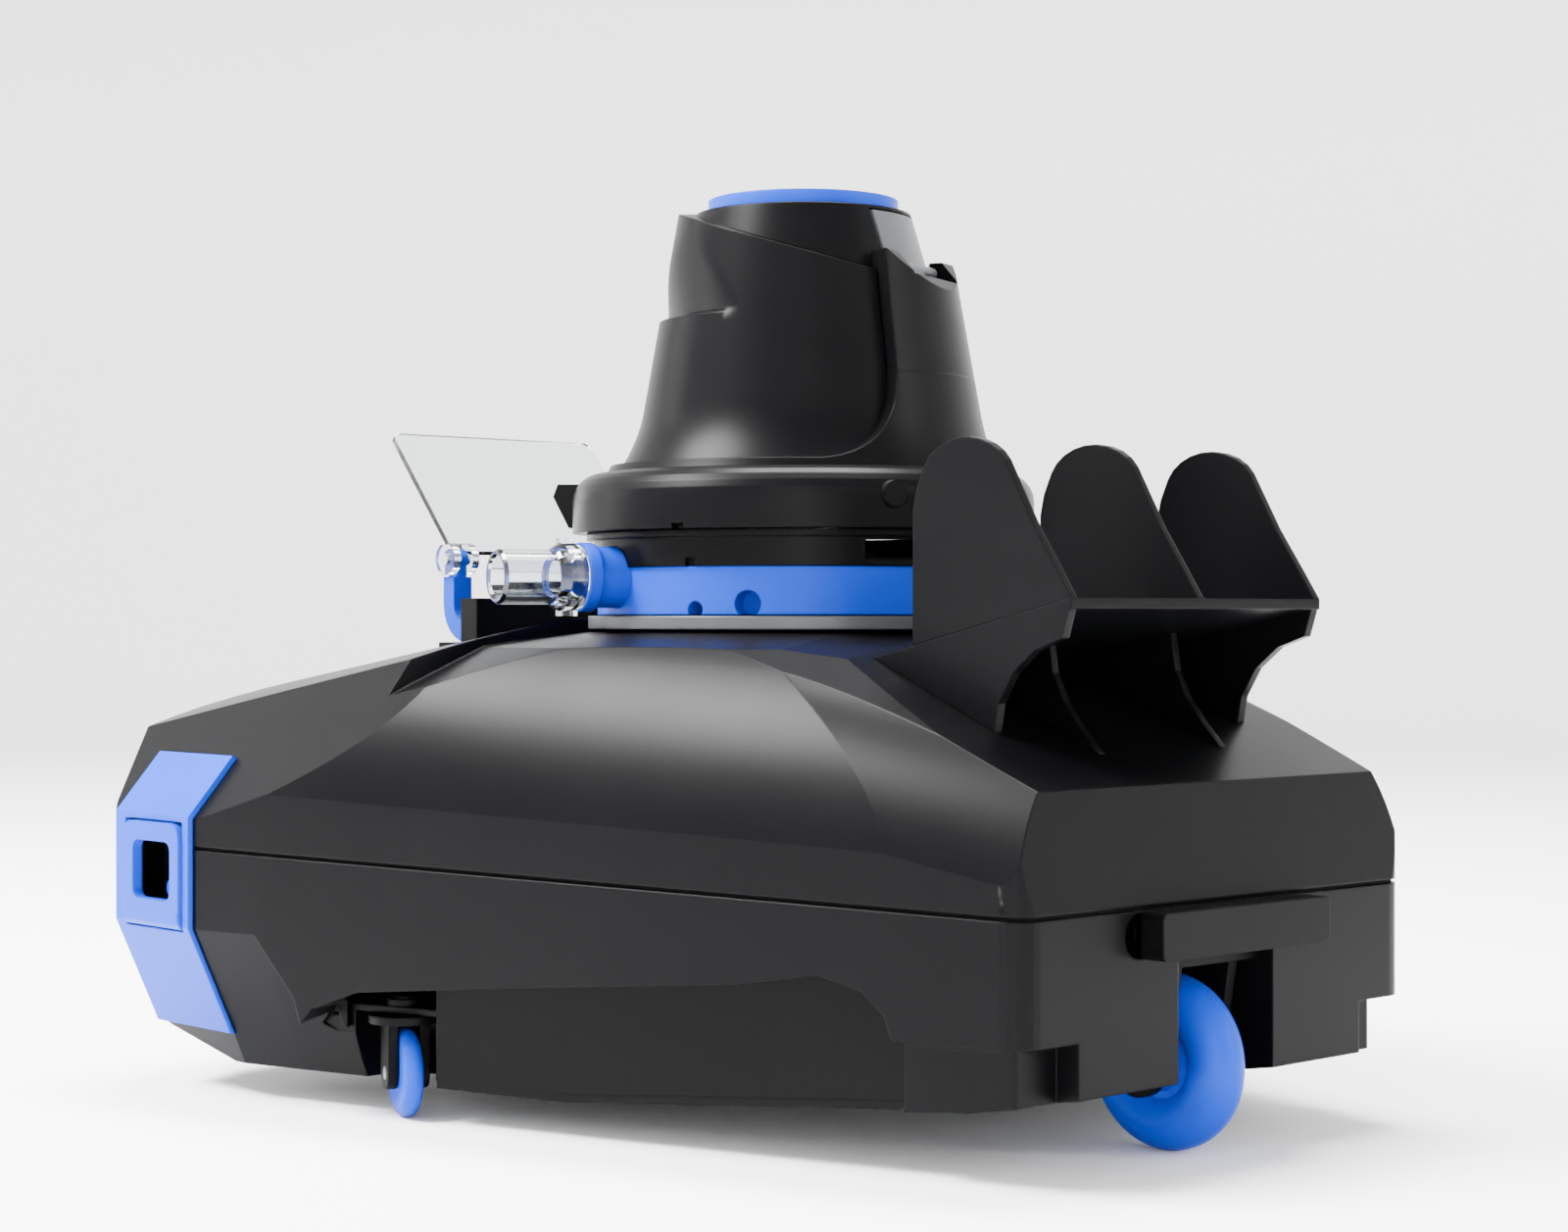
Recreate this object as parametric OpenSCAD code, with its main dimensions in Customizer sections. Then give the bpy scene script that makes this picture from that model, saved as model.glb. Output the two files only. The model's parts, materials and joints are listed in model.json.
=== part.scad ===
// Jet-driven pool cleaner. Origin on the turret axis at floor level, +X to the tail, +Z up.

/* [Hull] */
// Distance from the turret axis to the nose
nose_x = 179; // [170:1:190]
// Distance from the turret axis to the flat tail face
tail_x = 171; // [167:1:175]
// Half width over the straight sides
side_half = 162; // [156:1:168]
// Half width of the tail face
tail_half = 84; // [80:1:88]
// Height of the deck under the turret
deck_z = 147; // [142:1:152]
// Height of the joint between the hull shells, at the turret axis
parting_z = 76; // [72:1:80]
// Wall of the hull shells
hull_wall = 2.6; // [2.2:0.1:3.2]
// Height of the crease where the dome side panels start
crease_z = 97; // [94:1:100]
// Radius of the hull's plan corners
corner_r = 9; // [6:1:12]

/* [Turret] */
// Direction of the jet nozzle at rest, in degrees from the tail
jet_angle = -105; // [-110:1:-100]
// Direction of the head's spine at rest, in degrees from the tail
spine_angle = 20; // [15:1:25]
// Radius of the blue platform ring
ring_r = 66; // [64:1:67]
// Radius of the collar at the foot of the head
collar_r = 74; // [72:1:76]
// Radius of the tower at its foot
tower_foot_r = 55; // [53:1:56]
// Radius of the tower at its top
tower_top_r = 40; // [39:1:42]
// Height of the tower above the collar
tower_h = 85; // [80:1:90]
// Wall of the head's mouldings
head_wall = 2.4; // [2:0.1:3]
// Outer diameter of the jet nozzle
jet_d = 17; // [15:0.5:18]
// Length of the jet nozzle outside its socket
jet_len = 27; // [22:1:30]
// Radius of the impeller
impeller_r = 34; // [28:1:38]

/* [Wheels] */
// Radius of the rear wheel
rear_wheel_r = 25.3; // [24:0.1:26]
// Width of the rear tyre
rear_tyre_w = 16; // [13:0.5:18]
// Distance from the turret axis to the rear wheel's axle
rear_axle_x = 150; // [146:1:150]
// Radius of the front wheels
front_wheel_r = 13.5; // [13:0.1:14]
// Width of the front wheels
front_wheel_w = 6; // [5:0.5:7]
// Distance of the front wheels forward of the turret axis
front_wheel_x = 41; // [38:1:44]
// Distance of the front wheels from the middle
front_wheel_y = 126.5; // [125:0.5:128]
// Toe-in of the front wheels at rest
front_toe = 22; // [15:1:28]

/* [Tail wing] */
// Half width of the wing plate
wing_half = 55; // [50:1:58]
// Height of the wing plate's rear edge
wing_rear_z = 156; // [153:1:158]
// Height of the three fins' tips
fin_top_z = 200.7; // [194:0.1:204]
// Thickness of the fins
fin_w = 2.6; // [2:0.1:3.2]

/* [Fits] */
// Radial clearance of a pin in its bore
pin_clear = 0.06; // [0.04:0.01:0.1]
// Running gap between parts that turn past each other
run_gap = 0.4; // [0.3:0.05:0.6]

/* [Hidden] */
$fn = 96;

eps = 0.01;
black = "#17181a";
blue = "#2a6fd6";
grey = "#4b4e52";
clear = "#c9d6dc";
steel = "#b9bdc2";

// Plan of the hull, counter-clockwise: tail corner, shoulder, straight side, nose
shoulder_x = -76;
side_x0 = -152;
side_x1 = -102;
half_plan = [[tail_x, tail_half], [shoulder_x, side_half - 7], [side_x1, side_half],
    [side_x0, side_half], [side_x0 - 18, side_half - 24], [-nose_x, side_half - 92]];
plan = concat(half_plan, [for (i = [len(half_plan) - 1:-1:0]) [half_plan[i][0], -half_plan[i][1]]]);
// Slanted side: a frame at its shoulder end, with X along the side and Y into the hull
side_run = [tail_x - shoulder_x, side_half - 7 - tail_half];
side_angle = atan2(side_run[1], side_run[0]);
side_len = norm(side_run);

// Joint between the shells falls to the tail
parting_tilt = 1.43;
seal_h = 1.2;

// Deck: a flat disc under the turret, a skirt round it and a crowned front
deck_flat_r = 60;
deck_rim_r = 103;
deck_rim_drop = 5.5;
skirt_slope = 0.44;
crown_r = 463;
crown_x = -135;
crown_drop = 6;
crown_tilt = 8.3;
tail_deck_x = 87;
tail_deck_z = deck_z - 8;
tail_edge_z = deck_z - 43.7;
tail_lean = 4;
side_slope = 1.156;
tail_slope = (tail_deck_z - tail_edge_z) / (tail_x - tail_deck_x);

function unit(v) = v / norm(v);
function normal_in(a, b) = let (t = unit(b - a)) [-t[1], t[0]];
// Corner b of a counter-clockwise outline, moved in by d
function moved_in(a, b, c, d) =
    let (n = normal_in(a, b), m = normal_in(b, c)) b + (n + m) * d / (1 + n * m);
function inset(p, d) = [for (i = [0:len(p) - 1])
    moved_in(p[(i + len(p) - 1) % len(p)], p[i], p[(i + 1) % len(p)], d)];
// Arc points that round corner b with radius r
function corner_arc(a, b, c, r, steps) =
    let (n = normal_in(a, b), m = normal_in(b, c), o = moved_in(a, b, c, r),
        from = atan2(-n[1], -n[0]), turn = acos(min(1, n * m)))
    [for (i = [0:steps]) o + r * [cos(from + turn * i / steps), sin(from + turn * i / steps)]];
function rounded(p, r, steps = 5) = [for (i = [0:len(p) - 1])
    each corner_arc(p[(i + len(p) - 1) % len(p)], p[i], p[(i + 1) % len(p)], r, steps)];
function outline(d) = rounded(inset(plan, d), max(corner_r - d, 1.5));
function parting_at(x) = parting_z - x * tan(parting_tilt);

module both_sides() {
    children();
    mirror([0, 1, 0]) children();
}

module side_frame() {
    translate([shoulder_x, 7 - side_half, 0]) rotate(side_angle) children();
}

// Prism along Y of an outline in X and Z
module profile_y(points, width) {
    translate([0, width / 2, 0]) rotate([90, 0, 0]) linear_extrude(width) polygon(points);
}

// Prism along X of an outline in Y and Z
module profile_x(points, length) {
    translate([-length / 2, 0, 0]) rotate([90, 0, 90]) linear_extrude(length) polygon(points);
}

// Ring about Z between two radii and two heights
module ring(r_in, r_out, z0, z1) {
    translate([0, 0, z0]) difference() {
        cylinder(r = r_out, h = z1 - z0);
        translate([0, 0, -1]) cylinder(r = r_in, h = z1 - z0 + 2);
    }
}

// Everything under (or over) the joint between the shells, moved up by shift
module under_parting(shift) {
    translate([0, 0, parting_z + shift]) rotate([0, parting_tilt, 0])
        translate([-400, -300, -300]) cube([800, 600, 300]);
}

module over_parting(shift) {
    translate([0, 0, parting_z + shift]) rotate([0, parting_tilt, 0])
        translate([-400, -300, 0]) cube([800, 600, 300]);
}

/* ---- Hull shells ---- */

// Dome side panels: over its crease each side leans in on a long arc. A second, rounder arc takes
// over near the tail, where the crease dies away
panel_r = 96;
panel_in = 93.6;
panel_drop = 2.3;
tail_panel_r = 64;
tail_panel_in = 62.5;
tail_panel_drop = 11.1;
module panel_limit(start_x, start_z, drop, r, run_in, d) {
    length = 700;
    axis_z = -sqrt(pow(r, 2) - pow(run_in, 2));
    side_frame() translate([start_x, 0, start_z]) rotate([0, drop, 0]) translate([-length / 2, 0, 0]) {
        translate([0, -20, -250]) cube([length, 500, 250 - d]);
        translate([0, run_in, axis_z]) rotate([0, 90, 0]) cylinder(r = r - d, h = length);
        translate([0, run_in, -250]) cube([length, 400, 250 + axis_z + r - d]);
    }
}

module side_panel_limit(d) {
    intersection() {
        panel_limit(0, crease_z, panel_drop, panel_r, panel_in, d);
        panel_limit(side_len, parting_z + 4, tail_panel_drop, tail_panel_r, tail_panel_in, d);
    }
}

// The crowned front deck and the skirted disc under the turret
module deck(d) {
    // Crowned front that falls to the nose
    translate([crown_x, 0, deck_z - crown_drop - d]) rotate([0, -crown_tilt, 0])
        translate([-80, 0, -crown_r]) rotate([0, 90, 0]) cylinder(r = crown_r, h = 165, $fn = 4 * $fn);
    reach = 280;
    rotate_extrude() polygon([[0, 0], [0, deck_z - d], [deck_flat_r, deck_z - d],
        [deck_rim_r, deck_z - deck_rim_drop - d],
        [reach, deck_z - deck_rim_drop - d - skirt_slope * (reach - deck_rim_r)], [reach, 0]]);
}

module upper_form(d) {
    slope_z = crease_z - 9;
    // Side slope over the straight sides
    cross = [[-side_half - 9, 0], [-side_half - 9, slope_z - 9 * side_slope - d],
        [-side_half + 64, slope_z + 64 * side_slope - d], [side_half - 64, slope_z + 64 * side_slope - d],
        [side_half + 9, slope_z - 9 * side_slope - d], [side_half + 9, 0]];
    // Nose, deck and tail seen from the side
    tail_top_x = tail_x - tail_lean - d;
    lengthwise = [[-nose_x - 20, 0], [-nose_x - 20, deck_z - 82 - d], [-nose_x - 2, deck_z - 43 - d],
        [-nose_x + 13, deck_z - 11 - d], [-nose_x + 40, deck_z + 3 - d], [tail_deck_x - 26, deck_z + 3 - d],
        [tail_top_x, tail_deck_at(tail_top_x) - d], [tail_x - d, parting_z - 4], [tail_x - d, 0]];
    intersection() {
        linear_extrude(200) polygon(outline(d));
        profile_x(cross, 500);
        profile_y(lengthwise, 500);
        deck(d);
        side_panel_limit(d);
        mirror([0, 1, 0]) side_panel_limit(d);
    }
}

// Tub shape of the lower hull: upright walls, tapered all round the nose, undercut at the tail
taper_z = 55;
taper_in = 16;
floor_z = 10.5;
undercut_x = 86;
undercut_z = 38.5;
undercut_y = 62;
undercut_in = 8;
floor_rear_z = 20;
// Front edge of the upright side walls, behind the nose's taper
wall_front = [[-81, 60], [-81, 56], [-64, 36], [-61, 27], [-36, 16], [-20, 8]];
module lower_form(d) {
    keel = [[-nose_x - 10, 110], [-nose_x - 10, 60 + d], [-nose_x + 6, 36 + d], [-nose_x + 30, 21 + d],
        [-110, floor_z + d], [20, floor_z + d], [rear_axle_x, floor_rear_z + d], [tail_x + 10, 25 + d],
        [tail_x + 10, 110]];
    intersection() {
        profile_y(keel, 500);
        union() {
            translate([0, 0, taper_z]) linear_extrude(60) polygon(outline(d));
            hull() {
                translate([0, 0, taper_z - 1]) linear_extrude(1 + eps) polygon(outline(d));
                translate([0, 0, floor_z - 1]) linear_extrude(1) polygon(outline(d + taper_in + 4));
            }
            intersection() {
                linear_extrude(taper_z + 1) polygon(outline(d));
                union() {
                    profile_y(concat([for (p = wall_front) p + [1.4 * d, 0]], [[undercut_x - d, 8],
                        [undercut_x + 16 - d, undercut_z], [undercut_x + 16 - d, 60]]), 500);
                    translate([undercut_x - 10, -200, undercut_z + d]) cube([300, 400, 60]);
                    translate([undercut_x - 10, d - undercut_y, 0]) cube([300, 2 * (undercut_y - d), 60]);
                }
            }
            intersection() {
                linear_extrude(taper_z + 1) polygon(outline(undercut_in + d));
                translate([undercut_x - 10, -200, 0]) cube([300, 400, 60]);
            }
        }
        under_parting(20);
    }
}

// Side arch between two stations along the slanted side, seen square on
arch_s0 = 14;
arch_s1 = 218;
arch_deep = 11;
arch_points = [[arch_s0 + 28, -10], [arch_s1, -10], [arch_s1, 39], [arch_s1 - 2, 45], [arch_s1 - 9, 51],
    [arch_s1 - 22, 54.4], [arch_s1 - 50, 50], [arch_s0 + 87, 44.7], [arch_s0 + 23, 39], [arch_s0 + 6, 33],
    [arch_s0, 27], [arch_s0 + 28, 15]];

module arch_cut(deep, grow) {
    side_frame() translate([0, deep, 0]) rotate([90, 0, 0]) linear_extrude(deep + 20)
        polygon(inset(arch_points, -grow));
}

// Openings that the shells share
wheel_slot_half = 21;
wheel_slot_x = rear_axle_x - rear_wheel_r - 6;
deck_bore_r = 50;
mouth_x0 = -95;
mouth_x1 = 10;
mouth_half = 75;
// Round pocket for a front wheel's fork, with a window towards the tail
caster_r = front_wheel_r + 2.6;
caster_wall = 1.8;
caster_top = 2 * front_wheel_r + 4.6;
fork_pin_r = 4;
module caster_spots() {
    both_sides() translate([-front_wheel_x, -front_wheel_y, 0]) children();
}

module caster_pocket() {
    cylinder(r = caster_r, h = caster_top);
    cylinder(r = fork_pin_r + pin_clear, h = caster_top + 20);
    rotate(-55) translate([0, -6, -1]) cube([40, 12, 2 * front_wheel_r + 1]);
}

latch_x = (side_x0 + side_x1) / 2 + 3;
latch_w = 34;
latch_z0 = 53;
latch_z1 = 87;
pocket_deep = 13;
module latch_pocket(grow) {
    both_sides() translate([latch_x - latch_w / 2 - grow, -side_half - 5, latch_z0 - grow])
        cube([latch_w + 2 * grow, pocket_deep + 5 + grow, latch_z1 - latch_z0 + 2 * grow]);
}

screw_spots = [[-130, 60], [-130, -60], [60, 82], [60, -82]];
screw_r = 1.7;
screw_head_r = 3.2;
screw_head_z = 22;
screw_len = 78;
boss_r = 5;
latch_pin_r = 1.5;
latch_pin_z = latch_z0 + 3.2;
module latch_pin_line(r, grow) {
    both_sides() translate([latch_x - latch_w / 2 - grow, -side_half, latch_pin_z])
        rotate([0, 90, 0]) cylinder(r = r, h = latch_w + 2 * grow);
}

module lower_hull() color(black) {
    difference() {
        union() {
            difference() {
                lower_form(0);
                lower_form(hull_wall);
                both_sides() arch_cut(arch_deep + liner_wall, 0);
            }
            intersection() {
                lower_form(0);
                union() {
                    difference() {
                        caster_spots() cylinder(r = caster_r + caster_wall, h = caster_top + 2);
                        both_sides() arch_cut(arch_deep + liner_wall, 0);
                    }
                    latch_pocket(2);
                    bar_recess(2);
                    for (p = screw_spots) translate([p[0], p[1], 0]) cylinder(r = boss_r, h = 90);
                    translate([wheel_slot_x - hull_wall, -wheel_slot_half - hull_wall, 0])
                        cube([80, 2 * (wheel_slot_half + hull_wall), wheel_slot_z + hull_wall]);
                }
            }
        }
        over_parting(0);
        latch_pocket(0);
        bar_recess(0);
        latch_pin_line(latch_pin_r, 2);
        caster_spots() caster_pocket();
        translate([wheel_slot_x, -wheel_slot_half, -1]) cube([120, 2 * wheel_slot_half, wheel_slot_z + 1]);
        translate([mouth_x0, -mouth_half, 0]) cube([mouth_x1 - mouth_x0, 2 * mouth_half, 30]);
        for (p = screw_spots) translate([p[0], p[1], 0]) {
            cylinder(r = screw_r, h = 200);
            cylinder(r = screw_head_r + 0.3, h = screw_head_z + 2);
        }
    }
}

module upper_hull() color(black) {
    difference() {
        union() {
            difference() {
                upper_form(0);
                upper_form(hull_wall);
            }
            intersection() {
                upper_form(0);
                union() {
                    for (p = screw_spots) translate([p[0], p[1], 0]) cylinder(r = boss_r, h = 200);
                    latch_pocket(2);
                }
            }
        }
        under_parting(seal_h);
        latch_pocket(0);
        translate([0, 0, -1]) cylinder(r = deck_bore_r, h = 200);
        translate([0, 0, deck_z]) cylinder(r = ring_r + 3.3, h = 50);
        for (p = screw_spots) translate([p[0], p[1], 0])
            cylinder(r = screw_r, h = screw_head_z + screw_len + 1);
    }
}

// Seal squeezed between the shells, set in behind their outer faces
module hull_seal() color(black) {
    difference() {
        intersection() {
            linear_extrude(150) difference() {
                polygon(outline(1.2));
                polygon(outline(hull_wall + 0.6));
            }
            under_parting(seal_h);
            over_parting(0);
        }
        latch_pocket(2);
    }
}

module hull_screws() color(steel) {
    for (p = screw_spots) translate([p[0], p[1], screw_head_z]) {
        difference() {
            cylinder(r = screw_head_r, h = 2);
            translate([0, 0, -1]) cylinder(r = 1.6, h = 2, $fn = 6);
        }
        translate([0, 0, 2 - eps]) cylinder(r = screw_r, h = screw_len - 2);
    }
}

/* ---- Suction mouth, flap and filter ---- */
plate_margin = 6;
plate_z = floor_z + hull_wall;
plate_t = 2.4;
slot_x0 = -52;
slot_x1 = -26;
slot_half = 60;
flap_pin_x = slot_x1 + 5;
flap_pin_z = plate_z + plate_t + 3.2;
flap_pin_r = 1.5;
flap_t = 2;
ear_w = 4;

module inlet_plate() color(black) {
    top = plate_z + plate_t;
    difference() {
        union() {
            translate([mouth_x0 - plate_margin, -mouth_half - plate_margin, plate_z])
                cube([mouth_x1 - mouth_x0 + 2 * plate_margin, 2 * (mouth_half + plate_margin), plate_t]);
            // Skirt that fills the hole in the floor
            translate([mouth_x0 + 0.3, -mouth_half + 0.3, floor_z]) difference() {
                cube([mouth_x1 - mouth_x0 - 0.6, 2 * mouth_half - 0.6, hull_wall + eps]);
                translate([3, 3, -1]) cube([mouth_x1 - mouth_x0 - 6.6, 2 * mouth_half - 6.6, 20]);
            }
            both_sides() translate([flap_pin_x - 3, slot_half + 1, top - eps]) cube([6, ear_w, 6.4]);
            // Ribs across the underside
            for (x = [slot_x0 - 24, slot_x1 + 20]) translate([x, -mouth_half + 2, floor_z + 0.4])
                cube([3, 2 * mouth_half - 4, hull_wall]);
        }
        translate([slot_x0, -slot_half, 0]) cube([slot_x1 - slot_x0, 2 * slot_half, 40]);
        both_sides() translate([flap_pin_x, slot_half, flap_pin_z]) rotate([-90, 0, 0])
            cylinder(r = flap_pin_r, h = 20);
    }
}

module inlet_flap() color(grey) {
    difference() {
        union() {
            translate([slot_x0 - 3, -slot_half + 0.5, flap_pin_z - 2.6])
                cube([flap_pin_x - slot_x0 + 3, 2 * slot_half - 1, flap_t]);
            translate([flap_pin_x, -slot_half + 0.5, flap_pin_z]) rotate([-90, 0, 0])
                cylinder(r = 2.8, h = 2 * slot_half - 1);
        }
        translate([flap_pin_x, -slot_half - 1, flap_pin_z]) rotate([-90, 0, 0])
            cylinder(r = flap_pin_r + pin_clear, h = 2 * slot_half + 2);
    }
}

module inlet_flap_pin() color(steel) {
    translate([flap_pin_x, -slot_half - 1 - ear_w, flap_pin_z]) rotate([-90, 0, 0])
        cylinder(r = flap_pin_r, h = 2 * (slot_half + 1 + ear_w));
}

basket_x0 = -92;
basket_x1 = 42;
basket_half = 70;
basket_top = deck_z - 36;
basket_wall = 2.4;
eye_r = 20;
// Windows along a basket wall
module basket_windows(length, count, deep) {
    pitch = length / count;
    for (i = [0:count - 1]) translate([i * pitch + 4, -1, plate_z + plate_t + 12])
        cube([pitch - 8, deep, basket_top - plate_z - plate_t - 24]);
}

module filter_frame() color(grey) {
    base = plate_z + plate_t;
    length = basket_x1 - basket_x0;
    difference() {
        translate([basket_x0, -basket_half, base]) cube([length, 2 * basket_half, basket_top - base]);
        translate([basket_x0 + basket_wall, -basket_half + basket_wall, base - 1])
            cube([length - 2 * basket_wall, 2 * (basket_half - basket_wall), basket_top - base + 1 - basket_wall]);
        translate([0, 0, base]) cylinder(r = eye_r, h = 200);
        translate([basket_x0, -basket_half, 0]) basket_windows(length, 3, 200);
        translate([basket_x0, -basket_half, 0]) mirror([1, -1, 0]) basket_windows(2 * basket_half, 3, 200);
    }
}

module filter_mesh() color(clear) {
    mesh_t = 0.8;
    length = basket_x1 - basket_x0;
    for (y = [-basket_half + 0.8, basket_half - 1.6]) translate([basket_x0, y + 1, 0])
        basket_windows(length, 3, mesh_t);
    for (x = [basket_x0 + 0.8, basket_x1 - 1.6]) translate([x + 1, -basket_half, 0])
        mirror([1, -1, 0]) basket_windows(2 * basket_half, 3, mesh_t);
}

// Duct from the filter up to the pump's eye
duct_r = 26;

/* ---- Side trim ---- */
liner_wall = 2.2;
module arch_liner() color(black) {
    difference() {
        intersection() {
            difference() {
                side_frame() translate([0, arch_deep + liner_wall, 0]) rotate([90, 0, 0])
                    linear_extrude(arch_deep + liner_wall - hull_wall) polygon(inset(arch_points, -liner_wall));
                arch_cut(arch_deep, 0);
            }
            translate([-400, -300, floor_z + hull_wall]) cube([800, 600, 100]);
            lower_form(hull_wall);
        }
        translate([-front_wheel_x, -front_wheel_y, -1]) cylinder(r = caster_r + caster_wall + 0.3, h = 99);
    }
}

module arch_liner_left() arch_liner();
module arch_liner_right() mirror([0, 1, 0]) arch_liner();

strip_t = 1.8;
strip_x0 = side_x0 + 5;
strip_x1 = side_x1 - 1.5;
strip_top = 18.5;
module side_strip() color(blue) {
    taper_run = taper_in + 4;
    taper_drop = taper_z - floor_z;
    bend_z = crease_z - 9;
    low_z = 20;
    low_y = side_half - (taper_z - 1 - low_z) * taper_run / taper_drop;
    band = [[-side_half + strip_top / side_slope, bend_z + strip_top], [-side_half, bend_z],
        [-side_half, taper_z - 1], [-low_y, low_z], [-low_y - strip_t, low_z + 0.6],
        [-side_half - strip_t, taper_z - 0.6], [-side_half - strip_t, bend_z + 0.8],
        [-side_half + strip_top / side_slope - strip_t, bend_z + strip_top + 0.8]];
    difference() {
        translate([(strip_x0 + strip_x1) / 2, 0, 0]) profile_x(band, strip_x1 - strip_x0);
        latch_pocket(0);
        latch_pin_line(latch_pin_r + 0.1, 2.2);
        for (x = [strip_x0 + 13, strip_x0 + 29]) translate([x, -side_half, 30]) rotate([24, 28, 0])
            cube([1.6, 12, 17], center = true);
    }
}

module side_strip_left() side_strip();
module side_strip_right() mirror([0, 1, 0]) side_strip();

module latch() color(blue) {
    w = latch_w - 0.8;
    h = latch_z1 - latch_pin_z - 0.5;
    difference() {
        union() {
            translate([latch_x, -side_half + 0.5, latch_pin_z]) rotate([90, 0, 0])
                linear_extrude(3.5) latch_plate(w, h);
            translate([latch_x - w / 2, -side_half, latch_pin_z]) rotate([0, 90, 0])
                cylinder(r = 3, h = w);
        }
        latch_pin_line(latch_pin_r + pin_clear, 1);
    }
}

// Rounded square with a window
module latch_plate(w, h) {
    difference() {
        polygon(rounded([[-w / 2, -1], [w / 2, -1], [w / 2, h], [-w / 2, h]], 5, 6));
        polygon(rounded([[-w / 2 + 6, 6], [w / 2 - 5, 6], [w / 2 - 5, h - 6], [-w / 2 + 6, h - 6]], 3, 6));
    }
}

module latch_left() latch();
module latch_right() mirror([0, 1, 0]) latch();
module latch_pins() color(steel) latch_pin_line(latch_pin_r, 2);

// Hook in the upper shell that the latch closes over
module latch_catches() color(blue) {
    back = -side_half - 5 + pocket_deep + 5;
    both_sides() translate([latch_x + 1, back - 5, 0]) {
        translate([0, 0, latch_z1 - 22]) cube([3, 5, 22]);
        translate([-1.5, 2, latch_z1 - 22]) rotate([90, 0, 0]) cylinder(r = 3, h = 5);
        translate([1.5, -2, latch_z1 - 15]) cube([9, 4, 6]);
    }
}

/* ---- Wheels ---- */
wheel_slot_z = 57;
axle_r = 4;
bar_half = 37;
bar_z0 = 58.5;
bar_z1 = 71.5;
bar_deep = 8;
// Finger recesses in the tail face at the bar's ends
recess_r = 6.2;
recess_deep = 7;

module bar_recess(grow) {
    both_sides() translate([tail_x - recess_deep - grow, -bar_half, (bar_z0 + bar_z1) / 2])
        rotate([0, 90, 0]) cylinder(r = recess_r + grow, h = recess_deep + 20);
}

module rear_bar() color(black) {
    translate([tail_x, 0, bar_z0]) rotate([90, 0, 90]) linear_extrude(bar_deep)
        polygon(rounded([[-bar_half, 0], [bar_half, 0], [bar_half, bar_z1 - bar_z0],
            [-bar_half, bar_z1 - bar_z0]], 2));
}

bracket_gap = rear_tyre_w / 2 + 2.5;
bracket_t = 3.5;
module wheel_bracket() color(black) {
    top = wheel_slot_z;
    difference() {
        union() {
            translate([rear_axle_x - 16, -wheel_slot_half + 0.4, top - 3])
                cube([32, 2 * wheel_slot_half - 0.8, 3]);
            both_sides() translate([rear_axle_x, -bracket_gap, 0]) rotate([90, 0, 0])
                linear_extrude(bracket_t) polygon(concat([[-14, top - 2], [14, top - 2]],
                    [for (a = [0:-15:-180]) [9 * cos(a), rear_wheel_r + 9 * sin(a)]]));
        }
        translate([rear_axle_x, -50, rear_wheel_r]) rotate([-90, 0, 0])
            cylinder(r = axle_r + 0.03, h = 100);
    }
}

module rear_axle() color(steel) {
    translate([rear_axle_x, -bracket_gap - bracket_t - 1, rear_wheel_r]) rotate([-90, 0, 0])
        cylinder(r = axle_r, h = 2 * (bracket_gap + bracket_t + 1));
}

// Fat round tyre on a dished hub
module rear_wheel() color(blue) {
    tube = rear_tyre_w / 2;
    translate([rear_axle_x, 0, rear_wheel_r]) rotate([90, 0, 0]) difference() {
        union() {
            rotate_extrude() translate([rear_wheel_r - tube, 0]) circle(r = tube);
            cylinder(r = rear_wheel_r - tube, h = 8, center = true);
            cylinder(r = 8, h = 2 * bracket_gap - 2 * run_gap, center = true);
        }
        cylinder(r = axle_r + pin_clear, h = 100, center = true);
    }
}

fork_arm = 3;
front_axle_r = 2;
module on_caster(side) {
    translate([-front_wheel_x, side * front_wheel_y, 0]) rotate(side * front_toe) children();
}

module front_fork(side) color(black) {
    inner = front_wheel_w / 2 + run_gap;
    plate_z0 = caster_top - 2.9;
    on_caster(side) difference() {
        union() {
            translate([0, 0, plate_z0]) cylinder(r = 11, h = 2.5);
            translate([0, 0, plate_z0]) cylinder(r = fork_pin_r, h = 8);
            translate([0, 0, caster_top + 2 + 0.3]) cylinder(r = fork_pin_r + 1.5, h = 2);
            for (s = [-1, 1]) translate([0, s * (inner + fork_arm / 2), front_wheel_r]) rotate([90, 0, 0])
                linear_extrude(fork_arm, center = true) polygon(concat(
                    [[5, plate_z0 + 1 - front_wheel_r], [-5, plate_z0 + 1 - front_wheel_r]],
                    [for (a = [180:20:360]) 5 * [cos(a), sin(a)]]));
        }
        translate([0, 0, front_wheel_r]) rotate([90, 0, 0])
            cylinder(r = front_axle_r + 0.03, h = 50, center = true);
    }
}

module front_axle(side) color(steel) {
    on_caster(side) translate([0, 0, front_wheel_r]) rotate([90, 0, 0])
        cylinder(r = front_axle_r, h = front_wheel_w + 2 * (run_gap + fork_arm), center = true);
}

module front_wheel(side) color(blue) {
    w = front_wheel_w;
    on_caster(side) translate([0, 0, front_wheel_r]) rotate([90, 0, 0]) rotate_extrude() polygon(
        concat([[front_axle_r + pin_clear, -w / 2], [front_wheel_r - 3, -w / 2]],
        [for (a = [-70:20:70]) [front_wheel_r - 3 + 3 * cos(a), w / 2 * sin(a) / sin(80)]],
        [[front_wheel_r - 3, w / 2], [front_axle_r + pin_clear, w / 2]]));
}

module front_fork_left() front_fork(-1);
module front_fork_right() front_fork(1);
module front_axle_left() front_axle(-1);
module front_axle_right() front_axle(1);
module front_wheel_left() front_wheel(-1);
module front_wheel_right() front_wheel(1);

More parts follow.
